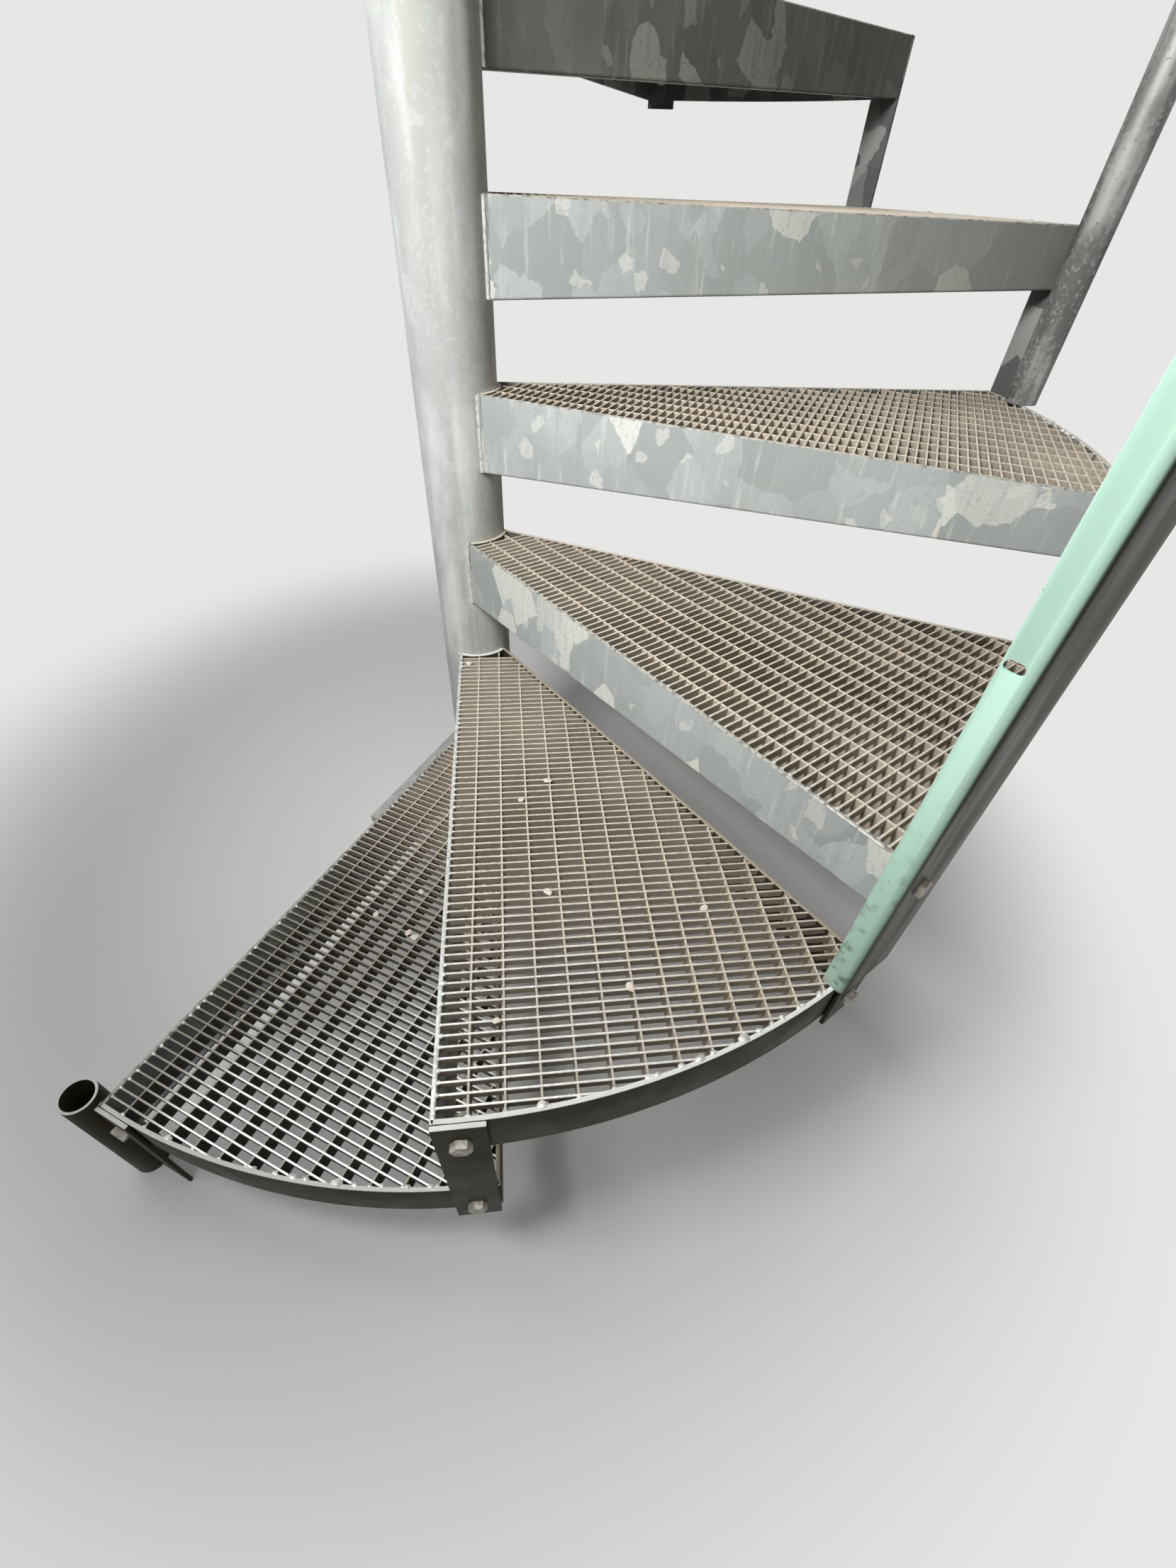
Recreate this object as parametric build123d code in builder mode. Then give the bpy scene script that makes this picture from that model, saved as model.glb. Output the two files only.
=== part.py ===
import math
import os

from build123d import *

# Spiral staircase in galvanised steel. Millimetres, +Z up. The origin is on the floor
# at the centre of the column, under its base plate. Treads climb counter-clockwise
# seen from above. Each tread is drawn once with its nose along +X, then turned and
# lifted into place.

# stair
tread_count = 11
rise = 196.0
step_angle = 30.4
first_angle = -123.9
seat = 0.3

# column and its foot
column_diameter = 114.3
column_wall = 5.0
column_over_last = 900.0
cap_thickness = 6.0
cap_overhang = 2.0
base_side = 360.0
base_thickness = 15.0
anchor_hole = 18.0
anchor_spacing = 280.0

# tread frame
rim_radius = 815.0
rim_height = 67.0
frame_bar = 5.0
nose_offset = 28.4
rear_offset = 23.6
nose_height_column = 99.0
nose_height_rim = 67.0
nose_fold = 15.0
nose_fold_bar = 4.0
collar_height = 40.0

# grating inside the frame
bearing_pitch = 33.3
bearing_bar = 3.0
bearing_depth = 30.0
cross_pitch = 400.0
cross_bar = 3.0
cross_depth = 10.0

# strap that ties each nose to the tread below
bracket_width = 50.0
bracket_bar = 5.0
bracket_length = 274.0

# railing
post_diameter = 42.4
post_wall = 3.2
stub_over_tread = 12.0
rail_diameter = 42.4
rail_over_nose = 1000.0
rail_bends = 2
channel_face = 25.0
channel_side = 80.0
channel_sheet = 3.0
channel_corner = 8.0
slot_length = 14.0
slot_width = 8.0
slot_edge = 2.0
slot_over_tread = 196.0
cope_gap = 0.8

column_radius = column_diameter / 2
column_height = tread_count * rise + column_over_last
bracket_plane = rim_radius + seat
post_radius = post_diameter / 2
post_s = rim_radius + 3.0
post_y = -nose_offset - post_radius - seat
rail_radius = math.hypot(post_s, post_y)
rail_lag = math.degrees(math.atan2(-post_y, post_s))
rail_climb = rise / (math.radians(step_angle) * rail_radius)


def tread_place(n):
    """Where the tread with number n sits: its height and its turn about the column."""
    return Location((0, 0, n * rise), (0, 0, first_angle + (n - 1) * step_angle))


def rear_line(along):
    """A point on the rear edge of the tread, at a distance along the next nose."""
    a = math.radians(step_angle)
    return (
        along * math.cos(a) - rear_offset * math.sin(a),
        along * math.sin(a) + rear_offset * math.cos(a),
    )


def export(body, name):
    body.label = name
    export_step(body, f"parts/{name}.step")


os.makedirs("parts", exist_ok=True)

# The plan of one tread: between the nose line and the rear line, from the column to the rim.
reach = rim_radius * 1.1
with BuildSketch() as tread_plan:
    Polygon(
        (0, 0), (0, -nose_offset), (reach, -nose_offset), rear_line(reach), rear_line(0),
        align=None,
    )
    Circle(rim_radius, mode=Mode.INTERSECT)
    Circle(column_radius + seat, mode=Mode.SUBTRACT)

# One grating tread. The frame is a curved rim, a collar bar round the column, a rear
# bar and a nose plate that is deeper at the column. The bars of the grating run
# parallel to the nose and the cross bars tie them, all flush at the top.
bearing_rows = int((rear_line(rim_radius)[1] + nose_offset) / bearing_pitch)
cross_rows = int((rim_radius - column_radius) / cross_pitch)
with BuildPart() as tread:
    with BuildSketch(Plane.XY.offset(-rim_height)):
        add(tread_plan.sketch)
        Circle(rim_radius - frame_bar, mode=Mode.SUBTRACT)
    extrude(amount=rim_height)
    with BuildSketch(Plane.XY.offset(-rim_height)):
        with Locations(Location((0, 0, 0), (0, 0, step_angle))):
            with Locations((rim_radius / 2, rear_offset - frame_bar / 2)):
                Rectangle(rim_radius, frame_bar)
        add(tread_plan.sketch, mode=Mode.INTERSECT)
    extrude(amount=rim_height)
    with BuildSketch(Plane.XY.offset(-collar_height)):
        Circle(column_radius + seat + frame_bar)
        add(tread_plan.sketch, mode=Mode.INTERSECT)
    extrude(amount=collar_height)
    with BuildSketch(Plane.XY.offset(-bearing_depth)):
        rows = [(rim_radius / 2, k * bearing_pitch - nose_offset) for k in range(1, bearing_rows + 1)]
        with Locations(*rows):
            Rectangle(rim_radius, bearing_bar)
        add(tread_plan.sketch, mode=Mode.INTERSECT)
    extrude(amount=bearing_depth)
    with BuildSketch(Plane.XY.offset(-cross_depth)):
        rows = [(column_radius + k * cross_pitch, rim_radius / 2) for k in range(1, cross_rows + 1)]
        with Locations(*rows):
            Rectangle(cross_bar, rim_radius * 2)
        add(tread_plan.sketch, mode=Mode.INTERSECT)
    extrude(amount=cross_depth)
    # The nose plate tapers along the tread, so its outline is drawn from the front.
    nose_end = math.sqrt(rim_radius**2 - nose_offset**2)
    with BuildSketch(Plane.XZ.offset(nose_offset - frame_bar)):
        Polygon(
            (0, 0), (0, -nose_height_column), (nose_end, -nose_height_rim), (nose_end, 0),
            align=None,
        )
    extrude(amount=frame_bar)
    # Its lower edge is folded to the rear as a narrow flange.
    with BuildSketch(Plane.XZ.offset(nose_offset - nose_fold)):
        Polygon(
            (0, nose_fold_bar - nose_height_column), (0, -nose_height_column),
            (nose_end, -nose_height_rim), (nose_end, nose_fold_bar - nose_height_rim),
            align=None,
        )
    extrude(amount=nose_fold)
    Cylinder(rim_radius, 3 * nose_height_column, mode=Mode.INTERSECT)
    Cylinder(column_radius + seat, 3 * nose_height_column, mode=Mode.SUBTRACT)

for n in range(1, tread_count + 1):
    with BuildPart() as placed_tread:
        with Locations(tread_place(n)):
            add(tread.part)
    export(placed_tread.part, f"tread_{n:02d}")

# The strap stands on the outside of the rim. It hangs from its own tread and reaches
# down past the rim of the tread below. The first one ends on the floor.
for n in range(1, tread_count + 1):
    length = min(bracket_length, n * rise)
    with BuildPart() as bracket:
        with Locations(tread_place(n)):
            with Locations((bracket_plane, bracket_width / 2 - nose_offset, 0)):
                Box(bracket_bar, bracket_width, length, align=(Align.MIN, Align.CENTER, Align.MAX))
    export(bracket.part, f"tread_bracket_{n:02d}")

# The column is a round tube that stands on the base plate.
with BuildPart() as column:
    with BuildSketch(Plane.XY.offset(base_thickness)):
        Circle(column_radius)
        Circle(column_radius - column_wall, mode=Mode.SUBTRACT)
    extrude(amount=column_height - base_thickness)
export(column.part, "column")

with BuildPart() as column_cap:
    with BuildSketch(Plane.XY.offset(column_height)):
        Circle(column_radius + cap_overhang)
    extrude(amount=cap_thickness)
export(column_cap.part, "column_cap")

# Its base plate is set square to the nose of the first tread.
with BuildPart() as base_plate:
    with BuildSketch(Plane.XY.rotated((0, 0, first_angle))):
        Rectangle(base_side, base_side)
        with GridLocations(anchor_spacing, anchor_spacing, 2, 2):
            Circle(anchor_hole / 2, mode=Mode.SUBTRACT)
    extrude(amount=base_thickness)
export(base_plate.part, "base_plate")


def rail_height(n, across):
    """Height of the handrail's centre near the post of tread n, where it runs straight."""
    return n * rise + rail_over_nose + (across - post_y) * rail_climb


def cut_under_rail(n):
    """Cope the top of a post of tread n where it meets the sloping handrail."""
    slope = math.degrees(math.atan(rail_climb))
    with Locations(Location((post_s, post_y, rail_height(n, post_y)), (0, 0, -rail_lag))):
        Cylinder(
            rail_diameter / 2 + cope_gap, 5 * rail_diameter,
            rotation=(slope - 90, 0, 0), mode=Mode.SUBTRACT,
        )


def post_turn(n):
    """The turn about the column that puts a post in front of the nose of tread n."""
    return Location((0, 0, 0), (0, 0, first_angle + (n - 1) * step_angle))


# The first post is cut off just over its tread and stands on the floor.
stub_length = rise + stub_over_tread
with BuildPart() as stub:
    with Locations(post_turn(1)):
        with Locations((post_s, post_y, stub_length / 2)):
            Cylinder(post_radius, stub_length)
            Cylinder(post_radius - post_wall, stub_length, mode=Mode.SUBTRACT)
export(stub.part, "post_stub_01")

# The other tube posts stand on the rim of the tread below, against the nose and the
# strap of their own tread, and carry the handrail.
for n in range(5, tread_count + 1, 2):
    low = (n - 1) * rise + seat
    length = rail_height(n, post_y) - low
    with BuildPart() as tube:
        with Locations(post_turn(n)):
            with Locations((post_s, post_y, low + length / 2)):
                Cylinder(post_radius, length)
                Cylinder(post_radius - post_wall, length, mode=Mode.SUBTRACT)
            cut_under_rail(n)
    export(tube.part, f"post_tube_{n:02d}")

# The replacement post is a bent sheet angle with a round heel, which ends level with the
# tread below. Its narrow leg stands in front of the nose of tread 3, on the rim of tread 2.
# Its wide leg lies on the strap and reaches past it to the rear.
channel_out = bracket_plane + bracket_bar + seat + channel_sheet
channel_front = -nose_offset - seat - channel_corner
channel_low = 2 * rise + seat
channel_top = rail_height(3, channel_front)
with BuildPart() as channel_post:
    with BuildSketch(Plane.XY.offset(channel_low)):
        with BuildLine():
            FilletPolyline(
                (channel_out - channel_face, channel_front), (channel_out, channel_front),
                (channel_out, channel_front + channel_side), radius=channel_corner,
            )
            offset(amount=channel_sheet, side=Side.LEFT)
        make_face()
    extrude(amount=channel_top - channel_low)
    # a slot close to the free edge of the narrow leg
    slot_x = channel_out - channel_face + slot_edge + slot_length / 2
    with BuildSketch(Plane((slot_x, channel_front, 3 * rise + slot_over_tread), z_dir=(0, -1, 0))):
        SlotOverall(slot_length, slot_width)
    extrude(amount=2 * channel_sheet, both=True, mode=Mode.SUBTRACT)
    cut_under_rail(3)
with BuildPart() as channel:
    with Locations(post_turn(3)):
        add(channel_post.part)
export(channel.part, "post_channel_03")

# The handrail climbs with the treads from the replacement post up. It is a round bar of
# straight lengths that are mitred where it bends, the same number of times for each
# tread. It runs straight over every post, and a part reaches from one post to the next.


def rail_point(n, turns, radius):
    """A point on the handrail's centre line, counted in treads from the post of tread n."""
    a = math.radians(first_angle + (n - 1 + turns) * step_angle - rail_lag)
    height = (n + turns) * rise + rail_over_nose
    return (radius * math.cos(a), radius * math.sin(a), height)


bends = [(k + 0.5) / rail_bends for k in range(2 * rail_bends)]
bend_radius = rail_radius / math.cos(math.radians(step_angle / rail_bends / 2))
rail_gap = seat / rail_radius / math.radians(step_angle)
for n in range(3, tread_count, 2):
    with BuildPart() as rail:
        with BuildLine() as path:
            Polyline(
                rail_point(n, rail_gap / 2, rail_radius),
                *[rail_point(n, turns, bend_radius) for turns in bends],
                rail_point(n, 2 - rail_gap / 2, rail_radius),
            )
        with BuildSketch(Plane(origin=path.line @ 0, z_dir=path.line % 0)):
            Circle(rail_diameter / 2)
        sweep(path=path.line, transition=Transition.RIGHT)
    export(rail.part, f"handrail_{n:02d}")
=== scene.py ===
# %% [markdown]
# # A galvanised spiral staircase
# The stair has wedge treads of steel grating on one round column. Each tread hangs on
# the one below by a flat strap, and tube posts carry a handrail that climbs with it.
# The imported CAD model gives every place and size, so it is loaded first as the frame.
# The pieces could all be drawn in world space, but a tread is easier to shape once with
# its nose along X and then turn, so that is the way taken here.

# %% Load the frame
import math
import random
from contextlib import contextmanager

import bmesh
import bpy
from mathutils import Matrix, Vector


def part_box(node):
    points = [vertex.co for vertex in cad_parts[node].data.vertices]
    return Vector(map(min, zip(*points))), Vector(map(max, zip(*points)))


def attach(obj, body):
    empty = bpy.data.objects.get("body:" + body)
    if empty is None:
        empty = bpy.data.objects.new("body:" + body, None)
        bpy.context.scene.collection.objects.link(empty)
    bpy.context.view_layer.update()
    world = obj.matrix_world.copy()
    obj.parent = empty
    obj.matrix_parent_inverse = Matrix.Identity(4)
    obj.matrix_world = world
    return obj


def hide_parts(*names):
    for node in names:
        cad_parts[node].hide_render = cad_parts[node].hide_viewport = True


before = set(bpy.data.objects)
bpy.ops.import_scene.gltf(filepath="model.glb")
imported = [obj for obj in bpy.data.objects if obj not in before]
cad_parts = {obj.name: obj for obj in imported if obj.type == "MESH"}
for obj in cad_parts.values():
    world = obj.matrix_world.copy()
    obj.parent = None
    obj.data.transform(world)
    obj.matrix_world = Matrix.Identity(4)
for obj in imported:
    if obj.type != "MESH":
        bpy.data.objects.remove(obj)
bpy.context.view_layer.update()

# %% Sizes that drive the stair
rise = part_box("tread_02")[1].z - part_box("tread_01")[1].z
tread_count = round(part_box("tread_bracket_11")[1].z / rise)
step_angle = math.radians(30.4)
first_angle = math.radians(-123.9)
column_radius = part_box("column")[1].x
column_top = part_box("column")[1].z
rim_radius = 0.815
rim_height = 0.067
frame_bar = 0.005
nose_offset = 0.0284
rear_offset = 0.0236
seat = 0.0003
print(tread_count, "treads with a rise of", round(rise, 4))

# %% [markdown]
# ## Camera
# The photograph was taken from above with a wide phone lens. Its place, turn and focal
# length were worked out from where the stair's corners fall in the picture. The lens is
# given in the picture's own pixels, and a vertical sensor fit turns it into millimetres.

# %% Camera
def deselect():
    """Lets go of everything, since an operator acts on all that is selected."""
    bpy.ops.object.select_all(action="DESELECT")


def named(name):
    """Names the object that an operator has just added."""
    obj = bpy.context.object
    obj.name = name
    return obj


photo_height = 2212
focal_pixels = 905.317
sensor = 36.0
camera_place = Vector((0.0, -1.02975, 0.99807))
yaw, pitch, roll = 0.20858, -0.75657, 0.05755
deselect()
bpy.ops.object.camera_add(location=camera_place)
camera = named("photo_camera")
look = Vector((math.sin(yaw) * math.cos(pitch), math.cos(yaw) * math.cos(pitch), math.sin(pitch)))
level = Vector((math.cos(yaw), -math.sin(yaw), 0.0))
over = level.cross(look)
right = math.cos(roll) * level + math.sin(roll) * over
up = math.cos(roll) * over - math.sin(roll) * level
turn = Matrix((right, up, -look)).transposed().to_4x4()
camera.matrix_world = Matrix.Translation(camera_place) @ turn
camera.data.sensor_fit = "VERTICAL"
camera.data.sensor_height = sensor
camera.data.lens = focal_pixels * sensor / photo_height
bpy.context.scene.camera = camera
bpy.context.scene.view_settings.view_transform = "Standard"
print("lens in millimetres", round(camera.data.lens, 2))

# %% [markdown]
# ## Helpers for shader nodes
# Every finish here is a small graph of noise and cells. The graphs could be written out
# node by node, but a few short helpers keep each finish readable. A helper takes either
# a plain value or the output of another node.


# %% Helpers for shader nodes
def wire(tree, value, socket):
    """Links an output to a socket, or sets the socket to a plain value."""
    if isinstance(value, bpy.types.NodeSocket):
        tree.links.new(value, socket)
    else:
        socket.default_value = value


def node(tree, kind, output, inputs, **settings):
    """Adds a node, feeds its inputs and gives back one of its outputs."""
    new = tree.nodes.new("ShaderNode" + kind)
    for key, value in settings.items():
        setattr(new, key, value)
    for key, value in inputs.items():
        wire(tree, value, new.inputs[key])
    return new.outputs[output]


def object_place(tree, stretch=(1, 1, 1)):
    """The place on the object in metres, stretched along its axes."""
    place = node(tree, "TexCoord", "Object", {})
    return node(tree, "Mapping", "Vector", {"Vector": place, "Scale": stretch})


def noise(tree, place, scale, detail=4.0, output="Fac"):
    inputs = {"Vector": place, "Scale": scale, "Detail": detail}
    return node(tree, "TexNoise", output, inputs)


def cells(tree, place, scale):
    """Flat cells, each with its own colour, which also serves as its random numbers."""
    return node(tree, "TexVoronoi", "Color", {"Vector": place, "Scale": scale})


def warped(tree, place, scale, amount):
    """The place, pushed about by a noise, which makes straight borders ragged."""
    push = noise(tree, place, scale, output="Color")
    inputs = {0: push, 1: (amount, amount, amount), 2: place}
    return node(tree, "VectorMath", "Vector", inputs, operation="MULTIPLY_ADD")


def axis_of(tree, vector, axis):
    return node(tree, "SeparateXYZ", axis, {"Vector": vector})


def distance(tree, stretch=(1, 1, 1)):
    """How far a point lies from the origin, or from the column's axis when Z is 0."""
    place = object_place(tree, stretch)
    return node(tree, "VectorMath", "Value", {0: place}, operation="LENGTH")


def calc(tree, operation, first, second=0.0):
    return node(tree, "Math", "Value", {0: first, 1: second}, operation=operation)


def span(tree, value, low, high, to_low=0.0, to_high=1.0):
    """Runs smoothly from one number to another while the value runs from low to high."""
    inputs = {
        "Value": value, "From Min": low, "From Max": high, "To Min": to_low, "To Max": to_high,
    }
    return node(tree, "MapRange", "Result", inputs, interpolation_type="SMOOTHSTEP")


def mix(tree, share, first, second):
    """A colour between two colours."""
    inputs = {"Factor": share, 6: first, 7: second}
    return node(tree, "Mix", 2, inputs, data_type="RGBA")


def lay(tree, body, colour, value, low, high, share=1.0):
    """Lays a colour over another one, up to a share, where a value nears its high end."""
    return mix(tree, span(tree, value, low, high, 0.0, share), body, colour)


def facing_up(tree, low, high):
    """1 on faces that look up, 0 on upright ones."""
    normal = node(tree, "NewGeometry", "True Normal", {})
    return span(tree, axis_of(tree, normal, "Z"), low, high)


def paint(red, green, blue):
    return (red, green, blue, 1.0)


def new_finish(name, metallic=0.0):
    """A material with its own Principled shader."""
    finish = bpy.data.materials.new(name)
    finish.use_nodes = True
    tree = finish.node_tree
    shader = tree.nodes["Principled BSDF"]
    shader.inputs["Metallic"].default_value = metallic
    return finish, tree, shader


def coat(tree, shader, colour, rough):
    """Gives a shader its colour and its roughness."""
    wire(tree, colour, shader.inputs["Base Color"])
    wire(tree, rough, shader.inputs["Roughness"])


def bump(tree, shader, height, depth, strength):
    inputs = {"Height": height, "Distance": depth, "Strength": strength}
    wire(tree, node(tree, "Bump", "Normal", inputs), shader.inputs["Normal"])


print("shader helpers ready")

# %% [markdown]
# ## Floor, sky and lamps
# The stair stands on a plain pale floor. A backdrop sheet could close the picture at the
# top, but the floor is seen almost to the horizon, so it fades into the colour of the
# sky with the distance instead. The floor and sky that the camera and the gloss see are
# pale, and the light that they throw on the stair is dimmer. A small lamp in front of the
# column does most for the noses, which fade outwards. A large soft one high up does the
# same for the treads, and a weak one fills in from the left.

# %% Floor, sky and lamps
pale = (0.80, 0.80, 0.79)
sky_light = 0.10
floor_seen = (0.90, 0.895, 0.88)
floor_felt = (0.12, 0.115, 0.105)
fade_start, fade_end = 0.7, 1.35


def seen_directly(tree):
    """1 for a ray from the camera, a mirror or glass, 0 for light that falls on things."""
    path = tree.nodes.new("ShaderNodeLightPath")
    glossy = calc(tree, "MAXIMUM", path.outputs["Is Camera Ray"], path.outputs["Is Glossy Ray"])
    return calc(tree, "MAXIMUM", glossy, path.outputs["Is Transmission Ray"])


world = bpy.data.worlds.new("studio")
world.use_nodes = True
bpy.context.scene.world = world
sky = world.node_tree
background = sky.nodes["Background"]
background.inputs["Color"].default_value = paint(*pale)
strength = span(sky, seen_directly(sky), 0.0, 1.0, sky_light, 1.0)
wire(sky, strength, background.inputs["Strength"])

deselect()
bpy.ops.mesh.primitive_plane_add(size=80)
floor = named("floor")
floor_finish, tree, shader = new_finish("floor")
floor_colour = mix(tree, seen_directly(tree), paint(*floor_felt), paint(*floor_seen))
coat(tree, shader, floor_colour, 0.75)
far = span(tree, distance(tree), fade_start, fade_end)
fade = calc(tree, "MULTIPLY", far, seen_directly(tree))
glow = node(tree, "Emission", "Emission", {"Color": paint(*pale)})
surface = node(tree, "MixShader", "Shader", {"Fac": fade, 1: shader.outputs["BSDF"], 2: glow})
wire(tree, surface, tree.nodes["Material Output"].inputs["Surface"])
floor.data.materials.append(floor_finish)


def add_lamp(name, place, target, size, power, spread=180):
    """A square lamp at a place, turned so that it shines at the target in a cone."""
    bpy.ops.object.light_add(type="AREA", location=place)
    lamp = named(name)
    lamp.data.size = size
    lamp.data.energy = power
    lamp.data.spread = math.radians(spread)
    aim = Vector(target) - Vector(place)
    lamp.rotation_euler = aim.to_track_quat("-Z", "Y").to_euler()


add_lamp("left", (-2.3, 0.4, 3.0), (0.1, -0.3, 0.4), 1.2, 6)
add_lamp("front", (-0.5, -0.8, 1.55), (0.25, -0.25, 0.8), 0.4, 8.6, 110)
add_lamp("over", (-0.9, 0.7, 4.0), (0.2, -0.3, 0.2), 1.4, 38)
print("stage ready")

# %% [markdown]
# ## Helpers for modelling
# All pieces start from a primitive that is added at its size and place. In edit mode,
# vertices, edges and faces are picked by where they are, and then moved, bevelled or
# extruded. This is the same work as by hand, with the picking done by a short test.


# %% Helpers for modelling
def take(obj):
    """Makes one object the only one selected, and the active one."""
    deselect()
    obj.select_set(True)
    bpy.context.view_layer.objects.active = obj


@contextmanager
def editing(obj, at_first="DESELECT"):
    """Opens a piece in edit mode with nothing picked, or all of it, and closes it again."""
    take(obj)
    bpy.ops.object.mode_set(mode="EDIT")
    bpy.ops.mesh.select_all(action=at_first)
    yield
    bpy.ops.object.mode_set(mode="OBJECT")


def pick(obj, kind, test):
    """Picks the vertices, edges or faces of a piece in edit mode that pass a test.

    A vertex is tested by its place, an edge by its two ends, a face by centre and normal.
    """
    bpy.ops.mesh.select_mode(type=kind)
    bpy.ops.mesh.select_all(action="DESELECT")
    mesh = bmesh.from_edit_mesh(obj.data)
    mesh.normal_update()
    parts = {"VERT": mesh.verts, "EDGE": mesh.edges, "FACE": mesh.faces}[kind]
    for part in parts:
        if kind == "VERT":
            hit = test(part.co)
        elif kind == "EDGE":
            hit = test(part.verts[0].co, part.verts[1].co)
        else:
            hit = test(part.calc_center_median(), part.normal)
        if hit:
            part.select_set(True)
    mesh.select_flush_mode()
    bmesh.update_edit_mesh(obj.data)


def bevel_edges(obj, width, segments, test):
    """Bevels the edges of a piece, in edit mode, that pass a test."""
    pick(obj, "EDGE", test)
    bpy.ops.mesh.bevel(offset=width, segments=segments, affect="EDGES")


def at(level, *values):
    """Whether all values lie at a level, to a tenth of a millimetre."""
    return all(abs(value - level) < 0.0001 for value in values)


def settle(obj):
    """Takes a piece's place, turn and size into its mesh."""
    take(obj)
    bpy.ops.object.transform_apply(location=True, rotation=True, scale=True)


def add_block(name, low, high):
    """A cube between two corners, with its place and size in its mesh."""
    low, high = Vector(low), Vector(high)
    deselect()
    bpy.ops.mesh.primitive_cube_add(size=1, location=(low + high) / 2, scale=high - low)
    obj = named(name)
    settle(obj)
    return obj


def add_round(name, radius, low, high, sides, rotation=(0, 0, 0), place=(0, 0, 0)):
    """A cylinder from low to high along its own axis, turned and then moved to its place."""
    deselect()
    bpy.ops.mesh.primitive_cylinder_add(
        vertices=sides, radius=radius, depth=high - low, location=(0, 0, (low + high) / 2)
    )
    obj = named(name)
    settle(obj)
    obj.rotation_euler = rotation
    obj.location = place
    settle(obj)
    return obj


def mend_normals(obj):
    """Merges doubled points and turns all faces outwards."""
    with editing(obj, "SELECT"):
        bpy.ops.mesh.remove_doubles(threshold=0.00001)
        bpy.ops.mesh.normals_make_consistent(inside=False)


def use_modifier(obj, kind, **settings):
    """Adds a modifier, sets it and applies it."""
    take(obj)
    modifier = obj.modifiers.new(kind.lower(), kind)
    for key, value in settings.items():
        setattr(modifier, key, value)
    bpy.ops.object.modifier_apply(modifier=modifier.name)


def cut_away(obj, cutter):
    """Takes the room of a cutter out of a piece, and removes the cutter."""
    use_modifier(obj, "BOOLEAN", operation="DIFFERENCE", solver="EXACT", object=cutter)
    bpy.data.objects.remove(cutter)


def join(name, *objects):
    """Makes one piece of several."""
    deselect()
    for obj in objects:
        obj.select_set(True)
    bpy.context.view_layer.objects.active = objects[0]
    bpy.ops.object.join()
    objects[0].name = name
    return objects[0]


def smooth(obj, degrees=35):
    take(obj)
    bpy.ops.object.shade_smooth_by_angle(angle=math.radians(degrees))


def copy_of(source):
    """A copy with its own mesh."""
    twin = source.copy()
    twin.data = source.data.copy()
    bpy.context.collection.objects.link(twin)
    return twin


def tread_turn(n):
    return first_angle + (n - 1) * step_angle


def set_on_tread(obj, name, n):
    """Turns a piece about the column to tread n, lifts it there and names it."""
    obj.name = name
    obj.rotation_euler = (0, 0, tread_turn(n))
    obj.location = (0, 0, n * rise)
    settle(obj)
    return obj


def give(obj, *finishes):
    """Gives a piece its materials in place of those that it has."""
    obj.data.materials.clear()
    for finish in finishes:
        obj.data.materials.append(finish)


def finish_piece(obj, finish, slot, *nodes):
    """Gives a piece its finish, ties it to the frame and hides the nodes it stands for."""
    if finish is not None:
        give(obj, finish)
    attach(obj, "root")
    if nodes:
        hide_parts(*nodes)
    return obj


def triangles(obj):
    return sum(len(face.vertices) - 2 for face in obj.data.polygons)


print("modelling helpers ready")

# %% [markdown]
# ## Finish of the nose plates
# Hot-dip galvanised plate shows zinc flower: grey patches with crisp, ragged borders,
# some of them much brighter where the skin has flaked or been rubbed. A Voronoi texture
# gives flat cells, and a noise pushes its coordinates about so that the borders are not
# straight. A share of the cells is bright, and a fine noise mottles all of them. From the
# fifth tread up the plates darken towards the rim, which is painted shade, and those over
# the fifth are a darker copy of the zinc, also painted shade. One function makes both
# kinds from their own colours.


# %% Finish of the nose plates
rust = paint(0.40, 0.35, 0.24)


def zinc_flower(name, dark, light, flake, rimward_shade):
    """Patches from dark to light, bright flakes, rain streaks, and painted shade towards the rim.
    """
    finish, tree, shader = new_finish(name, metallic=0.05)
    place = object_place(tree, (1.0, 1.0, 0.8))
    ragged = place
    for scale, amount in ((11.0, 0.05), (55.0, 0.009), (170.0, 0.003)):
        ragged = warped(tree, ragged, scale, amount)
    patch = cells(tree, ragged, 19.0)
    small = axis_of(tree, cells(tree, warped(tree, place, 60.0, 0.015), 62.0), "Y")
    body = mix(tree, axis_of(tree, patch, "X"), dark, light)
    body = lay(tree, body, dark, noise(tree, place, 6.0), 0.4, 0.62, 0.6)
    body = lay(tree, body, flake, axis_of(tree, patch, "Y"), 0.88, 0.89, 0.85)
    body = lay(tree, body, flake, small, 0.95, 0.96, 0.5)
    rain = noise(tree, object_place(tree, (1.0, 1.0, 0.1)), 110.0)
    body = lay(tree, body, flake, rain, 0.56, 0.76, 0.5)
    body = lay(tree, body, dark, rain, 0.46, 0.28, 0.4)
    rusty = noise(tree, object_place(tree, (1.0, 1.0, 0.16)), 26.0)
    body = lay(tree, body, rust, rusty, 0.66, 0.76, 0.45)
    grain = noise(tree, object_place(tree), 240.0, 8.0)
    body = lay(tree, body, dark, grain, 0.5, 0.3, 0.4)
    body = lay(tree, body, flake, grain, 0.66, 0.78, 0.5)
    # Painted shade: from the fifth tread up, the plate darkens towards the rim.
    height = axis_of(tree, object_place(tree), "Z")
    high = span(tree, height, 4 * rise + 0.01, 4 * rise + 0.09)
    outer = span(tree, distance(tree, (1.0, 1.0, 0.0)), 0.2, rim_radius, 0.0, 0.62)
    body = mix(tree, calc(tree, "MULTIPLY", high, outer), body, rimward_shade)
    coat(tree, shader, body, span(tree, rain, 0.3, 0.7, 0.62, 0.48))
    bump(tree, shader, grain, 0.0004, 0.35)
    return finish


# The fourth colour of each zinc is the painted shade towards the rim.
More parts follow.
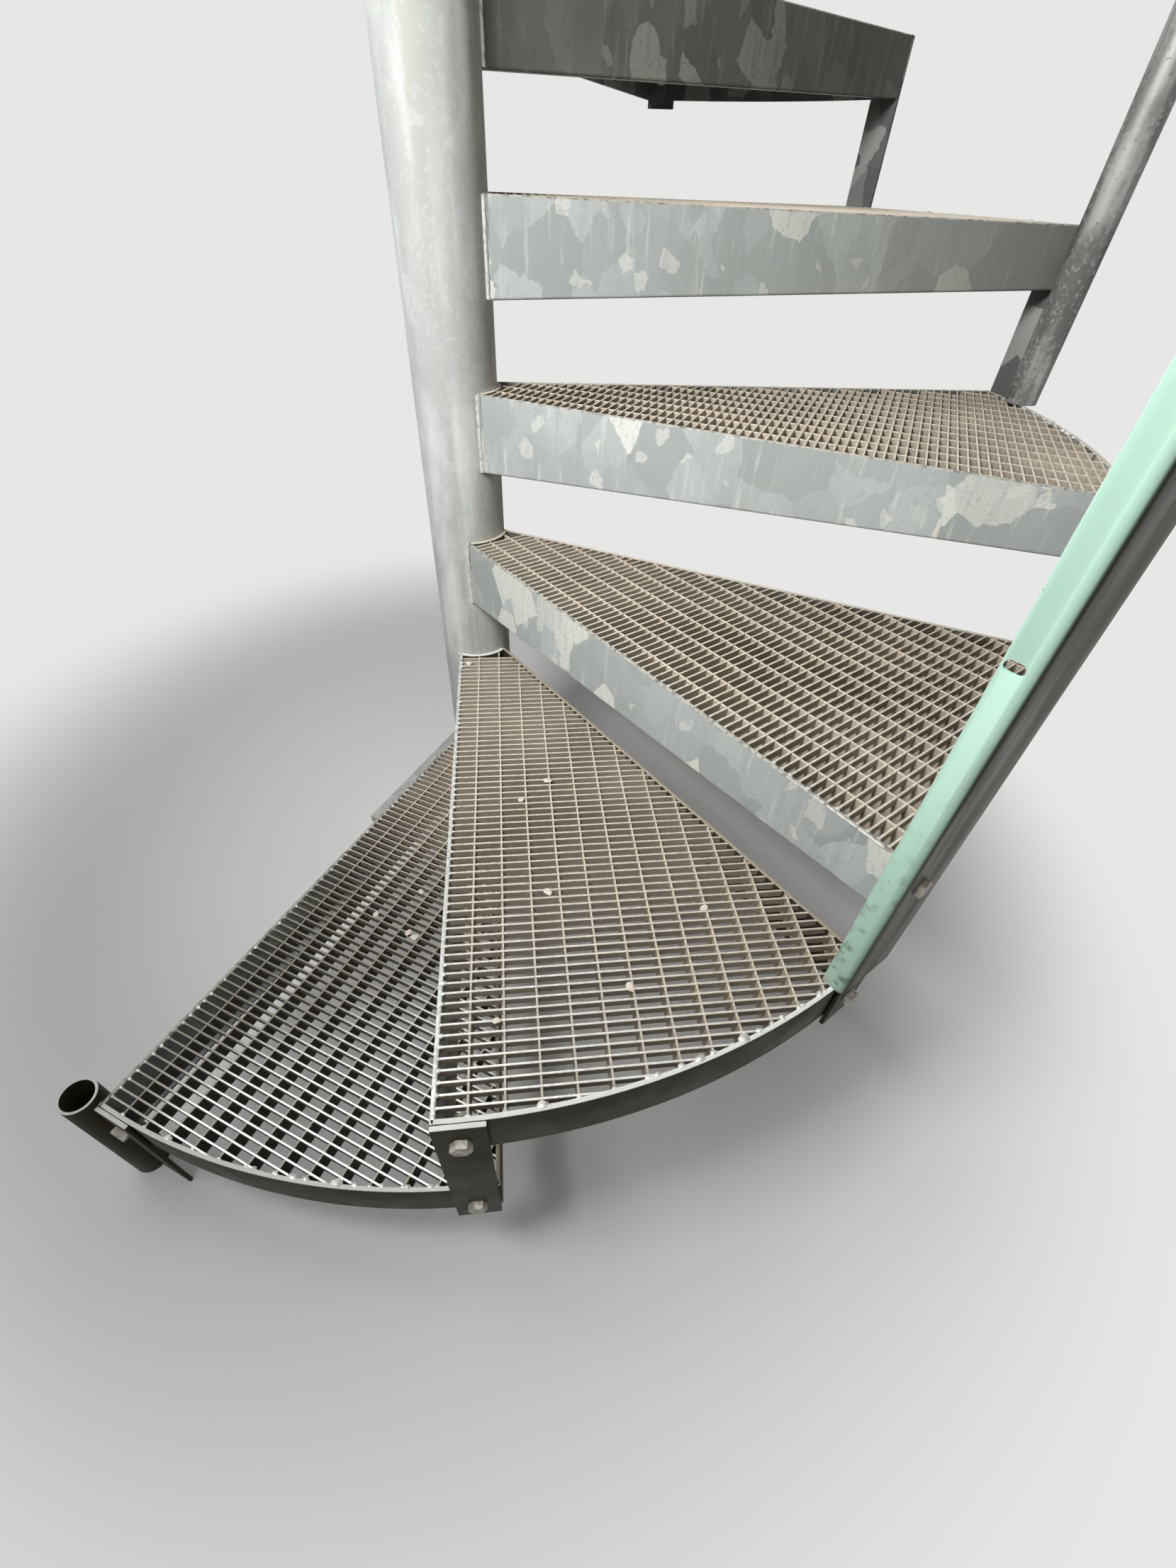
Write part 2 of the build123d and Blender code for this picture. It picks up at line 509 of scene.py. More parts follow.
nose_zinc = zinc_flower(
    "nose_zinc", paint(0.36, 0.385, 0.37), paint(0.525, 0.56, 0.545), paint(0.78, 0.785, 0.72),
    paint(0.15, 0.155, 0.13),
)
# A darker copy of the nose zinc, as painted shade, for the noses over the fifth tread.
painted_shade_zinc = zinc_flower(
    "painted_shade_zinc", paint(0.110, 0.112, 0.094), paint(0.205, 0.215, 0.190), paint(0.36, 0.38, 0.34),
    paint(0.035, 0.034, 0.023),
)


def edge_finish(name, clean, dull, metallic):
    """The narrow top of a bar: clean metal or settled dust, with small dull spots."""
    finish, tree, shader = new_finish(name, metallic=metallic)
    spots = noise(tree, object_place(tree), 160.0)
    body = lay(tree, clean, dull, spots, 0.45, 0.65)
    coat(tree, shader, body, span(tree, spots, 0.4, 0.7, 0.3, 0.55))
    return finish


edge_zinc = edge_finish("edge_zinc", paint(0.80, 0.80, 0.76), paint(0.54, 0.545, 0.505), 0.4)
dusty_edge = edge_finish("dusty_edge", paint(0.46, 0.44, 0.385), paint(0.20, 0.19, 0.16), 0.0)
print("zinc for the nose plates ready")

# %% [markdown]
# ## Finish of the grating
# Dust has settled on the tops of the bars and dulls their sides to a brownish grey. The
# two lowest treads are walked on most, and there the outer part of the bars is rubbed
# bright. On the lowest one the dust and the sides of the bars are darker towards the outer
# part. The grating carries a flat map of its own plan, so the rubbed field can be set by
# the distance from the column and from the nose, and a number that says how much the tread
# is used.

# %% Finish of the grating
plan_map = "plan"
use_mark = "use"


def grating_zinc(name, bright, dull, shiny):
    """Dust, rubbed through to metal where the tread is used. Most used is the lowest."""
    finish, tree, shader = new_finish(name)
    plan = node(tree, "UVMap", "UV", {}, uv_map=plan_map)
    along, behind = axis_of(tree, plan, "X"), axis_of(tree, plan, "Y")
    used = node(tree, "Attribute", "Fac", {}, attribute_name=use_mark)
    place = object_place(tree)
    cloud = noise(tree, place, 7.0)
    most = span(tree, used, 0.85, 0.95)
    lean = span(tree, most, 0.0, 1.0, -0.7, 1.0)
    outer = calc(tree, "ADD", along, calc(tree, "MULTIPLY", behind, lean))
    outer = calc(tree, "ADD", outer, calc(tree, "MULTIPLY", most, -0.22))
    rubbed = span(tree, calc(tree, "ADD", outer, calc(tree, "MULTIPLY", cloud, 0.3)), 0.56, 0.84)
    rubbed = calc(tree, "MULTIPLY", rubbed, used)
    top = facing_up(tree, 0.3, 0.8)
    grain = noise(tree, place, 220.0)
    dust = lay(tree, paint(0.76, 0.68, 0.56), paint(0.60, 0.53, 0.43), grain, 0.35, 0.7)
    darkened = calc(tree, "MULTIPLY", most, span(tree, along, 0.22, 0.5))
    dust = mix(tree, darkened, dust, paint(0.36, 0.33, 0.27))
    metal = lay(tree, bright, dull, grain, 0.35, 0.7)
    side = lay(tree, paint(0.50, 0.44, 0.355), paint(0.34, 0.295, 0.23), cloud, 0.3, 0.7)
    side = mix(tree, darkened, side, paint(0.15, 0.14, 0.115))
    shine = calc(tree, "MULTIPLY", calc(tree, "MULTIPLY", rubbed, top), shiny)
    body = mix(tree, top, side, mix(tree, rubbed, dust, metal))
    coat(tree, shader, body, span(tree, shine, 0.0, 1.0, 0.8, 0.34))
    wire(tree, span(tree, shine, 0.0, 1.0, 0.0, 0.75), shader.inputs["Metallic"])
    bump(tree, shader, grain, 0.0003, 0.4)
    return finish


fill_zinc = grating_zinc("fill_zinc", paint(0.90, 0.89, 0.86), paint(0.72, 0.71, 0.67), 1.0)
bearing_zinc = grating_zinc(
    "bearing_zinc", paint(0.60, 0.565, 0.50), paint(0.42, 0.39, 0.33), 0.3
)
print("zinc for the grating ready")

# %% [markdown]
# ## Finish of rims and straps
# The outer faces of the rims and straps near the floor are painted dark, which is painted
# shade, and higher up the same zinc is lighter. Two finishes could be used, but the change
# is gradual, so one finish runs from dark to light with the height. The narrow tops of the
# bars are rubbed clean on the lowest treads and dusty on the others. The bar at the rear of
# a tread is stepped on less, so a second finish gives it a duller top.


# %% Finish of rims and straps
dusty_top = paint(0.66, 0.60, 0.50)


def strap_zinc(name, worn):
    finish, tree, shader = new_finish(name)
    place = object_place(tree)
    height = axis_of(tree, place, "Z")
    flower = axis_of(tree, cells(tree, warped(tree, place, 20.0, 0.03), 24.0), "X")
    cloud = noise(tree, place, 26.0, 6.0)
    # Painted shade: the zinc is dark near the floor and lighter higher up.
    painted_shade = lay(tree, paint(0.024, 0.019, 0.010), paint(0.058, 0.049, 0.029), cloud, 0.3, 0.7)
    clean = lay(tree, paint(0.15, 0.16, 0.155), paint(0.42, 0.43, 0.405), flower, 0.3, 0.9)
    body = lay(tree, painted_shade, clean, height, 0.45, 0.95)
    upper = lay(tree, worn, dusty_top, height, 0.42, 0.56)
    body = mix(tree, facing_up(tree, 0.25, 0.6), body, upper)
    coat(tree, shader, body, span(tree, cloud, 0.3, 0.7, 0.42, 0.62))
    shader.inputs["Specular IOR Level"].default_value = 0.15
    bump(tree, shader, cloud, 0.0006, 0.3)
    return finish


strap_finish = strap_zinc("strap_zinc", paint(0.84, 0.845, 0.81))
rear_finish = strap_zinc("rear_zinc", paint(0.42, 0.375, 0.305))
print("zinc for the straps ready")

# %% [markdown]
# ## Finish of tubes and column
# The posts and the handrail are smooth tube with long streaks from the zinc bath, dark
# clouds, stains that ran down and fine specks. The column is duller and paler, with runs
# down its length. Both are noise stretched along the height, so one function makes them,
# and the column gets wider and softer streaks.


# %% Finish of tubes and column
def streaked_zinc(name, dark, light, stained, across, along, rough, metallic, sparkle):
    finish, tree, shader = new_finish(name, metallic=metallic)
    long_place = object_place(tree, (1.0, 1.0, along))
    streak = noise(tree, long_place, across, 5.0)
    flower = axis_of(tree, cells(tree, warped(tree, object_place(tree), 18.0, 0.04), 34.0), "X")
    body = lay(tree, dark, light, streak, 0.34, 0.66)
    body = lay(tree, body, light, flower, 0.62, 0.66, 0.35)
    cloud = noise(tree, object_place(tree, (1.0, 1.0, 0.45)), 13.0, 8.0)
    body = lay(tree, body, dark, cloud, 0.44, 0.62, 0.8)
    stain = noise(tree, object_place(tree, (1.0, 1.0, 0.07)), 25.0)
    body = lay(tree, body, stained, stain, 0.56, 0.68, 0.4)
    speck = noise(tree, object_place(tree), 190.0)
    body = lay(tree, body, dark, speck, 0.62, 0.74, 0.7)
    body = lay(tree, body, light, speck, 0.48, 0.30, sparkle)
    coat(tree, shader, body, span(tree, streak, 0.3, 0.7, rough + 0.1, rough))
    shader.inputs["Specular IOR Level"].default_value = 0.3
    bump(tree, shader, speck, 0.0003, 0.25)
    return finish


tube_finish = streaked_zinc(
    "tube_zinc", paint(0.12, 0.125, 0.115), paint(0.60, 0.61, 0.585), paint(0.20, 0.19, 0.15),
    across=45.0, along=0.08, rough=0.42, metallic=0.3, sparkle=0.6,
)
column_finish = streaked_zinc(
    "column_zinc", paint(0.46, 0.475, 0.455), paint(0.72, 0.745, 0.72), paint(0.50, 0.465, 0.375),
    across=34.0, along=0.06, rough=0.6, metallic=0.0, sparkle=0.3,
)
print("zinc for tubes and column ready")

# %% [markdown]
# ## Green paint
# One post was replaced by bent sheet in a pastel mint green. The paint is satin and
# smooth, with a few chips and dirt runs, smudges towards the foot and a bare lower edge.
# The chips are a thresholded noise, and the dirt is a noise that is long down the post.
# The outer leg is painted dark as painted shade, which fades out round the bend.


# %% Green paint
mint, pale_mint = paint(0.55, 0.83, 0.69), paint(0.62, 0.88, 0.75)
post_turn = tread_turn(3)
post_low = 2 * rise


def mint_paint():
    finish, tree, shader = new_finish("mint_paint")
    place = object_place(tree)
    height = axis_of(tree, place, "Z")
    body = lay(tree, mint, pale_mint, noise(tree, place, 5.0), 0.35, 0.65)
    dirt = noise(tree, object_place(tree, (1.0, 1.0, 0.14)), 38.0, 6.0)
    body = lay(tree, body, paint(0.40, 0.50, 0.40), dirt, 0.60, 0.74, 0.35)
    low = span(tree, height, post_low + 0.008, post_low + 0.328, 1.0, 0.0)
    smudge = span(tree, noise(tree, place, 60.0, 6.0), 0.5, 0.72)
    body = mix(tree, calc(tree, "MULTIPLY", low, smudge), body, paint(0.20, 0.29, 0.22))
    bare = calc(tree, "ADD", height, span(tree, dirt, 0.3, 0.7, 0.0, 0.02))
    bare = span(tree, bare, post_low + 0.012, post_low + 0.020, 1.0, 0.0)
    body = mix(tree, bare, body, paint(0.62, 0.61, 0.55))
    chips = noise(tree, place, 75.0, 3.0)
    body = lay(tree, body, paint(0.18, 0.16, 0.12), chips, 0.73, 0.745)
    # Painted shade: the outer leg, which faces away from the light, is painted dark and fades out
    # round the bend.
    normal = node(tree, "NewGeometry", "Normal", {})
    inputs = {0: normal, 1: (math.cos(post_turn), math.sin(post_turn), 0.0)}
    outward = node(tree, "VectorMath", "Value", inputs, operation="DOT_PRODUCT")
    darkened = span(tree, outward, 0.62, 0.9)
    painted_shade = lay(tree, paint(0.035, 0.031, 0.017), paint(0.075, 0.07, 0.042), dirt, 0.3, 0.7)
    coat(tree, shader, mix(tree, darkened, body, painted_shade), span(tree, dirt, 0.4, 0.7, 0.36, 0.55))
    wire(tree, span(tree, darkened, 0.0, 1.0, 0.5, 0.15), shader.inputs["Specular IOR Level"])
    bump(tree, shader, noise(tree, place, 320.0), 0.0002, 0.2)
    return finish


green_finish = mint_paint()
print("green paint ready")

# %% [markdown]
# ## Nose plate
# The front of each tread is one plate, deeper at the column than at the rim, with its
# lower edge folded to the rear. It could be a flat outline given a thickness, but a
# block is quicker: its lower outer corner is lifted for the taper, a bisect marks the
# fold, and the strip below it is extruded to the rear.

# %% Nose plate
nose_height_column = 0.099
nose_fold = 0.015
nose_fold_bar = 0.004
fold_round = 0.003
top_round = 0.0016
plate_start = math.sqrt(column_radius**2 - nose_offset**2) - 0.002
nose_end = math.sqrt(rim_radius**2 - nose_offset**2)
taper = nose_height_column - rim_height
lower_edge = Vector((nose_end - plate_start, 0, taper))
lower_normal = Vector((-lower_edge.z, 0, lower_edge.x)).normalized()


def over_lower_edge(point):
    """How far a point lies over the lower edge of the nose plate."""
    return (point - Vector((plate_start, 0, -nose_height_column))).dot(lower_normal)


nose_plate = add_block(
    "nose_plate",
    (plate_start, -nose_offset, -nose_height_column),
    (nose_end, -nose_offset + frame_bar, 0),
)
with editing(nose_plate):
    pick(nose_plate, "VERT", lambda p: p.x > nose_end - 0.01 and p.z < -0.05)
    bpy.ops.transform.translate(value=(0, 0, taper))
    bpy.ops.mesh.select_all(action="SELECT")
    fold_line = Vector((plate_start, 0, -nose_height_column)) + nose_fold_bar * lower_normal
    bpy.ops.mesh.bisect(plane_co=fold_line, plane_no=lower_normal)
    pick(nose_plate, "FACE", lambda c, n: n.y > 0.9 and over_lower_edge(c) < nose_fold_bar)
    bpy.ops.mesh.extrude_region_move(
        TRANSFORM_OT_translate={"value": (0, nose_fold - frame_bar, 0)}
    )
    bevel_edges(
        nose_plate, fold_round, 3,
        lambda a, b: at(-nose_offset, a.y, b.y) and at(0, over_lower_edge(a), over_lower_edge(b)),
    )
    bevel_edges(
        nose_plate, top_round, 3, lambda a, b: at(0, a.z, b.z) and abs(a.x - b.x) > 0.1
    )
give(nose_plate, nose_zinc, edge_zinc)
for face in nose_plate.data.polygons:
    on_top = face.center.z > -top_round - 0.0002 and face.normal.z > 0.2
    face.material_index = 1 if on_top else 0
print("nose plate", triangles(nose_plate), "triangles")

# %% [markdown]
# ## Rim, rear bar and collar
# The rest of the frame is flat bar on edge. The rim and the collar follow circles about
# the column, so an upright rectangle with eased corners is spun through the tread's
# angle. The rear bar is straight, a block turned to the next nose line.


# %% Rim, rear bar and collar
bar_round = 0.0009
collar_height = 0.040
overlap = 0.002


def bent_bar(name, outer, thickness, height, start, end, steps):
    """A flat bar on edge, bent about the column from one angle to another."""
    deselect()
    bpy.ops.mesh.primitive_plane_add(size=1, rotation=(math.pi / 2, 0, 0))
    obj = named(name)
    obj.scale = (thickness, height, 1)
    obj.location = (outer - thickness / 2, 0, -height / 2)
    settle(obj)
    obj.rotation_euler = (0, 0, start)
    settle(obj)
    with editing(obj, "SELECT"):
        bpy.ops.mesh.bevel(offset=bar_round, segments=2, affect="VERTICES")
        bpy.ops.mesh.select_all(action="SELECT")
        bpy.ops.mesh.spin(steps=steps, angle=start - end, center=(0, 0, 0), axis=(0, 0, 1))
    mend_normals(obj)
    return obj


def edge_angle(offset, radius):
    return math.asin(offset / radius)


rim = bent_bar(
    "rim", rim_radius, frame_bar, rim_height,
    -edge_angle(nose_offset, rim_radius), step_angle + edge_angle(rear_offset, rim_radius), 30,
)
collar = bent_bar(
    "collar", column_radius + seat + frame_bar, frame_bar + overlap, collar_height,
    -edge_angle(nose_offset - overlap, column_radius),
    step_angle + edge_angle(rear_offset - overlap, column_radius), 10,
)
rear_start = math.sqrt(column_radius**2 - rear_offset**2) - overlap
rear_end = math.sqrt(rim_radius**2 - rear_offset**2) - overlap
rear_bar = add_block(
    "rear_bar", (rear_start, rear_offset - frame_bar, -rim_height), (rear_end, rear_offset, 0)
)
with editing(rear_bar):
    bevel_edges(rear_bar, bar_round, 2, lambda a, b: abs(a.x - b.x) > 0.1)
rear_bar.rotation_euler = (0, 0, step_angle)
settle(rear_bar)
give(rim, strap_finish)
give(collar, strap_finish)
give(rear_bar, rear_finish)
tread_rim = join("tread_rim", rim, rear_bar, collar)
smooth(tread_rim)
print("rim, rear bar and collar", triangles(tread_rim), "triangles")

# %% [markdown]
# ## Grating
# Deep bearing bars run parallel to the nose, and shallow fill bars cross them three
# times as densely. Each kind is one bar with eased top edges, repeated by an Array. A
# wedge with the tread's outline then cuts all bars to length, which is how the maker
# saws the mat before the frame is welded round it.

# %% Wedge that cuts the grating
wedge_inset = frame_bar / 2
wedge = add_round("wedge", rim_radius - wedge_inset, -0.06, 0.02, 240)
rear_normal = Vector((-math.sin(step_angle), math.cos(step_angle), 0))
with editing(wedge, "SELECT"):
    bpy.ops.mesh.bisect(
        plane_co=(0, -nose_offset + wedge_inset, 0), plane_no=(0, -1, 0),
        use_fill=True, clear_outer=True,
    )
    bpy.ops.mesh.select_all(action="SELECT")
    bpy.ops.mesh.bisect(
        plane_co=rear_normal * (rear_offset - wedge_inset), plane_no=rear_normal,
        use_fill=True, clear_outer=True,
    )
hub = add_round("hub", column_radius + seat + wedge_inset, -0.08, 0.04, 96)
cut_away(wedge, hub)
print("wedge", len(wedge.data.polygons), "faces")

# %% Bars of the grating
bearing_pitch = 0.0333
bearing_bar = 0.0024
bearing_depth = 0.030
fill_pitch = bearing_pitch / 3
fill_bar = 0.0024
fill_depth = 0.010
bearing_top = -0.0012
fill_top = -0.0003
bearing_rows = 13
fill_rows = int((rim_radius - column_radius) / fill_pitch)


def bar_mat(name, low, high, count, step, long_axis):
    """One bar with eased top edges, repeated and cut to the wedge."""
    bars = add_block(name, low, high)
    top = high[2]
    with editing(bars):
        bevel_edges(
            bars, 0.0005, 1,
            lambda a, b: at(top, a.z, b.z) and abs(a[long_axis] - b[long_axis]) > 0.1,
        )
    use_modifier(
        bars, "ARRAY", count=count, use_relative_offset=False, use_constant_offset=True,
        constant_offset_displace=step,
    )
    use_modifier(bars, "BOOLEAN", operation="INTERSECT", solver="EXACT", object=wedge)
    return bars


bearing_y = -nose_offset + bearing_pitch
bearing_bars = bar_mat(
    "bearing_bars",
    (0.03, bearing_y - bearing_bar / 2, -bearing_depth),
    (rim_radius + 0.01, bearing_y + bearing_bar / 2, bearing_top),
    bearing_rows, (0, bearing_pitch, 0), 0,
)
fill_x = column_radius + fill_pitch
fill_bars = bar_mat(
    "fill_bars",
    (fill_x - fill_bar / 2, -nose_offset, -fill_depth),
    (fill_x + fill_bar / 2, rim_radius / 2 + 0.1, fill_top),
    fill_rows, (fill_pitch, 0, 0), 1,
)
print("bearing bars", triangles(bearing_bars), "fill bars", triangles(fill_bars))

# %% [markdown]
# ## Weld spots on the frame
# Where the bars meet the frame, blobs of weld and zinc sit on the inner edge of the rim
# and of the nose plate, each of a different size. A low icosphere is roughened with a
# seeded shake and flattened, once for every spot, so they all differ and the scene still
# comes out the same each time. The small ones along the nose need fewer faces.

# %% Weld spots on the frame
inner_radius = rim_radius - frame_bar
spots = [
    (math.sqrt(inner_radius**2 - y * y), y)
    for y in (bearing_y + k * bearing_pitch for k in range(bearing_rows))
    if y < inner_radius * math.sin(step_angle)
]
spots += [
    (x, math.sqrt(inner_radius**2 - x * x))
    for x in (fill_x + k * fill_pitch for k in range(fill_rows))
    if inner_radius * math.cos(step_angle) < x < inner_radius * 0.985
]
nose_spots = [(fill_x + k * fill_pitch, -nose_offset + frame_bar) for k in range(fill_rows)]


def shaken_ball(detail, amount, seed):
    """A low ball of radius 1 with its points moved about, the same way each run."""
    deselect()
    bpy.ops.mesh.primitive_ico_sphere_add(subdivisions=detail, radius=1)
    ball = named("ball")
    with editing(ball, "SELECT"):
        bpy.ops.transform.vertex_random(offset=amount, seed=seed, wait_for_input=False)
    return ball


def weld_spot(place, size, seed, detail=2):
    spot = shaken_ball(detail, 0.35, seed)
    spot.scale = (size, size * 1.25, size * 0.55)
    spot.rotation_euler = (0, 0, math.atan2(place[1], place[0]))
    spot.location = (*place, bearing_top)
    settle(spot)
    return spot


chance = random.Random(4)
weld_spots = [
    weld_spot(place, chance.uniform(0.0020, 0.0036) * (1.7 if k % 6 == 2 else 1.0), k)
    for k, place in enumerate(spots)
]
weld_spots += [
    weld_spot(place, chance.uniform(0.0016, 0.0030), k, 1) for k, place in enumerate(nose_spots)
]
print(len(weld_spots), "weld spots")

# %% One grating with its plan map
give(bearing_bars, bearing_zinc)
give(fill_bars, fill_zinc)
grating = join("grating", bearing_bars, fill_bars)
plan = grating.data.uv_layers.new(name=plan_map)
for loop in grating.data.loops:
    point = grating.data.vertices[loop.vertex_index].co
    plan.data[loop.index].uv = (point.x, point.y)
welds = join("welds", *weld_spots)
smooth(welds, 60)
give(welds, edge_zinc)
print("grating", triangles(grating), "triangles, welds", triangles(welds))

# %% [markdown]
# ## The treads
# The finished tread is copied once for each step, turned by the step angle and lifted by
# the rise. Linked copies would share one mesh, but the patterns read the object's own
# coordinates, so each copy has its place in its own mesh and gets its own zinc flower.

# %% The treads
how_used = {1: 1.0, 2: 0.8, 3: 0.3}
little_used = 0.12
for n in range(1, tread_count + 1):
    for source, name, slot in (
        (nose_plate, "nose_plate", "grating_zinc"), (tread_rim, "rim", "strap_zinc"),
        (welds, "rim_welds", "grating_zinc"), (grating, "grating", "grating_zinc"),
    ):
        piece = set_on_tread(copy_of(source), f"{name}_{n:02d}", n)
        finish_piece(piece, None, slot, f"tread_{n:02d}")
        if source is nose_plate:
            # Noses over the fifth take the darker copy of the zinc, which is painted shade.
            piece.data.materials[0] = painted_shade_zinc if n > 5 else nose_zinc
            piece.data.materials[1] = edge_zinc if n == 2 else dusty_edge
        elif source is grating:
            mark = piece.data.attributes.new(use_mark, "FLOAT", "POINT")
            used = how_used.get(n, little_used)
            mark.data.foreach_set("value", [used] * len(piece.data.vertices))
for source in (nose_plate, tread_rim, welds, grating, wedge):
    bpy.data.objects.remove(source)
print(tread_count, "treads placed")

# %% [markdown]
# ## Crumbs on the treads
# Pale flakes of dirt lie on the two lowest treads. Each is a flat irregular scrap across
# a few bars. They are shaken balls like the weld spots, flattened more, and each lies
# where it lies on the real treads: tread, distance along it, distance behind the middle
# line of the column, and size.

# %% Crumbs on the treads
crumb_places = [
    (2, 0.0847, -0.0118, 0.0050), (2, 0.3821, 0.1018, 0.0048), (2, 0.4171, 0.0647, 0.0042),
    (2, 0.5713, 0.0909, 0.0050), (2, 0.6082, 0.2684, 0.0046), (2, 0.6990, 0.1680, 0.0048),
    (2, 0.7239, 0.0304, 0.0040), (1, 0.4685, 0.1530, 0.0048), (1, 0.3996, 0.1270, 0.0042),
    (1, 0.4704, 0.1654, 0.0050), (1, 0.4630, 0.0915, 0.0042),
]
crumb_finish, tree, shader = new_finish("crumbs")
tint = noise(tree, object_place(tree), 130.0)
crumb_colour = mix(tree, tint, paint(0.90, 0.84, 0.73), paint(0.66, 0.59, 0.48))
coat(tree, shader, crumb_colour, 0.9)
for k, (n, along, behind, size) in enumerate(crumb_places):
    crumb = shaken_ball(2, 0.4, k)
    crumb.scale = (size * 1.2, size * 0.85, 0.0009)
    crumb.rotation_euler = (0, 0, 1.3 * k)
    crumb.location = (along, behind, 0.0004)
    settle(crumb)
    smooth(crumb, 60)
    finish_piece(set_on_tread(crumb, f"crumb_{k + 1:02d}", n), crumb_finish, "grating_zinc")
print(len(crumb_places), "crumbs laid")

# %% [markdown]
# ## Straps and their bolts
# A flat bar stands on the rim at each nose and ties the tread to the one below with two
# hexagon bolts. The bar is a block with bevelled edges. The head of the bolt sits straight
# on the bar, and inside the rim follow a washer, the nut and the end of the thread. Each
# is a cylinder whose far corners are cut by a bevel, with six sides for head and nut. All
# straps have their bolts tightened differently, so each pair has its own turn.

# %% Strap and bolt
strap_width = 0.050
strap_bar = 0.005
strap_length = 0.274
strap_plane = rim_radius + seat
strap_out = strap_plane + strap_bar
bolt_drop = 0.036
bolt_y = strap_width / 2 - nose_offset


def strap_block(length):
    strap = add_block(
        "strap", (strap_plane, -nose_offset, -length), (strap_out, strap_width - nose_offset, 0)
    )
    with editing(strap, "SELECT"):
        bpy.ops.mesh.bevel(offset=bar_round, segments=2, affect="EDGES")
    smooth(strap)
    return strap


def bolt_part(near, far, radius, sides, corner):
    """One part of a bolt along X from near to far, its far corners cut by a bevel."""
    turn = math.copysign(math.pi / 2, far - near)
    part = add_round("part", radius, 0, abs(far - near), sides, (0, turn, 0), (near, 0, 0))
    with editing(part):
        bevel_edges(part, corner, 2, lambda a, b: at(far, a.x, b.x))
    return part


def bolt(outer_face, head=0.008):
    """A bolt on the axis X through strap and rim, from its head to its nut."""
    washer_face = rim_radius - frame_bar - 0.002
    nut_face = washer_face - 0.009
    piece = join(
        "bolt",
        bolt_part(outer_face, outer_face + head, 0.0106, 6, 0.0011),
        bolt_part(rim_radius - frame_bar, washer_face, 0.0125, 28, 0.0006),
        bolt_part(washer_face, nut_face, 0.0106, 6, 0.0011),
        bolt_part(nut_face, nut_face - 0.004, 0.006, 28, 0.0006),
    )
    smooth(piece)
    return piece


strap_bolt = bolt(strap_out)
print("strap bolt", triangles(strap_bolt), "triangles")


# %% Finish of the bolts
def bolt_zinc():
    finish, tree, shader = new_finish("bolt_zinc", metallic=0.45)
    grain = noise(tree, object_place(tree), 150.0, 6.0)
    colour = lay(tree, paint(0.62, 0.59, 0.52), paint(0.34, 0.315, 0.26), grain, 0.35, 0.7)
    coat(tree, shader, colour, span(tree, grain, 0.3, 0.7, 0.35, 0.65))
    bump(tree, shader, grain, 0.0004, 0.4)
    return finish


bolt_finish = bolt_zinc()


def set_bolts(name, source, n, drops, along_y):
    """Copies of a bolt at given distances under the top of tread n, as one piece."""
    placed = []
    for drop in drops:
        twin = copy_of(source)
        twin.rotation_euler = (random.Random(n).uniform(0, 1), 0, 0)
        settle(twin)
        twin.location = (0, along_y, -drop)
        settle(twin)
        placed.append(twin)
    finish_piece(set_on_tread(join(name, *placed), name, n), bolt_finish, "strap_zinc")


print("bolt finish ready")

# %% The straps
for n in range(1, tread_count + 1):
    strap = set_on_tread(strap_block(min(strap_length, n * rise)), f"strap_{n:02d}", n)
    finish_piece(strap, strap_finish, "strap_zinc", f"tread_bracket_{n:02d}")
    drops = [bolt_drop, rise + bolt_drop]
    if n == 1:  # there is no tread below
        drops = drops[:1]
    if n == 3:  # the upper bolt also holds the green post and comes with it
        drops = drops[1:]
    set_bolts(f"strap_bolts_{n:02d}", strap_bolt, n, drops, bolt_y)
print(tread_count, "straps placed")

# %% [markdown]
# ## Tube posts
# The railing stands on round tubes. Every second tread has one in front of its nose. The
# first is cut off just over its tread, so one looks into its bore. A cylinder becomes a
# tube when its top face is inset by the wall and pushed down, and its rims are eased.

# %% Tube posts
post_radius = 0.0212
post_wall = 0.0032
post_s = rim_radius + 0.003
post_y = -nose_offset - post_radius - seat
rail_radius = math.hypot(post_s, post_y)
rail_lag = math.atan2(-post_y, post_s)
rail_over_nose = 1.0
stub_over_tread = 0.012


def tube(name, low, high, bore):
    """An upright tube at the post's place, with its bore sunk from the top."""
    obj = add_round(name, post_radius, low, high, 48, place=(post_s, post_y, 0))
    with editing(obj):
        pick(obj, "FACE", lambda c, n: n.z > 0.9)
        bpy.ops.mesh.inset(thickness=post_wall)
        bpy.ops.mesh.extrude_region_move(TRANSFORM_OT_translate={"value": (0, 0, -bore)})
        bevel_edges(
            obj, 0.0004, 2,
            lambda a, b: (at(high, a.z, b.z) or at(low, a.z, b.z)) and (a - b).length < 0.004,
        )
    smooth(obj)
    return obj


# The stub takes the strap zinc, painted dark near the floor as painted shade.
stub = set_on_tread(tube("stub", -rise, stub_over_tread, rise), "cut_off_post", 1)
finish_piece(stub, strap_finish, "tube_zinc", "post_stub_01")
for n in range(5, tread_count + 1, 2):
    post = tube("post", -rise + seat, rail_over_nose, 0.02)
    set_on_tread(post, f"tube_post_{n:02d}", n)
    finish_piece(post, tube_finish, "tube_zinc", f"post_tube_{n:02d}")
print("posts placed")

# %% [markdown]
# ## Handrail
# The handrail is a smooth tube that climbs round the column. A curve with a bevel would
# do, but a Screw modifier makes the helix from one ring in a single step. The ring stands
# upright in the plane of the column, and is stretched in height by the climb, so that the
# tube comes out round across its own run. Its two open ends are closed with a face each.

